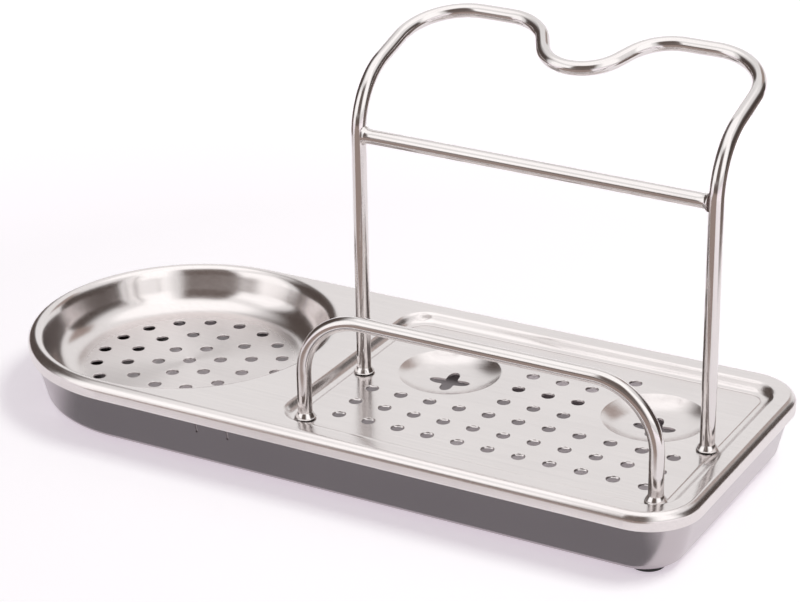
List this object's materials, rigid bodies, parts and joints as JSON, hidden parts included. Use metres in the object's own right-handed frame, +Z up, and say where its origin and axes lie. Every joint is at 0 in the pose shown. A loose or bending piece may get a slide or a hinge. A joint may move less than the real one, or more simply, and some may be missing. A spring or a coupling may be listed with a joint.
{
  "type": "sink caddy",
  "caption": "Free-standing steel sink caddy: a perforated tray with a round dish, a tall wire rack and a low wire guard, lifting off a drip pan.",
  "frame": {"origin": "on the ground, under the middle of the tray's outline", "axes": "+Z up, +X from the round dish to the square end, +Y from the low guard to the tall rack's crest at the back"},
  "size_m": [0.275, 0.115, 0.1444],
  "materials": {
    "tray_steel": "satin, brushed along the length",
    "wire_steel": "polished",
    "pan_steel": "dark satin",
    "fixing_steel": "plain",
    "foot_rubber": "matt"
  },
  "bodies": {
    "pan": {"drip_pan": "pan_steel", "foot_left_front": "foot_rubber", "foot_left_back": "foot_rubber", "foot_right_front": "foot_rubber", "foot_right_back": "foot_rubber"},
    "tray": {"drain_tray": "tray_steel", "rack_hoop": "wire_steel", "rack_crossbar": "wire_steel", "guard_wire": "wire_steel", "rack_left_collar": "wire_steel", "rack_right_collar": "wire_steel", "guard_left_collar": "wire_steel", "guard_right_collar": "wire_steel", "rack_left_washer": "fixing_steel", "rack_right_washer": "fixing_steel", "guard_left_washer": "fixing_steel", "guard_right_washer": "fixing_steel", "rack_left_screw": "fixing_steel", "rack_right_screw": "fixing_steel", "guard_left_screw": "fixing_steel", "guard_right_screw": "fixing_steel"}
  },
  "joints": [
    {"name": "tray_lift", "type": "slide", "parent": "pan", "child": "tray", "axis": [0, 0, 1], "range_m": [0, 0.04]}
  ]
}
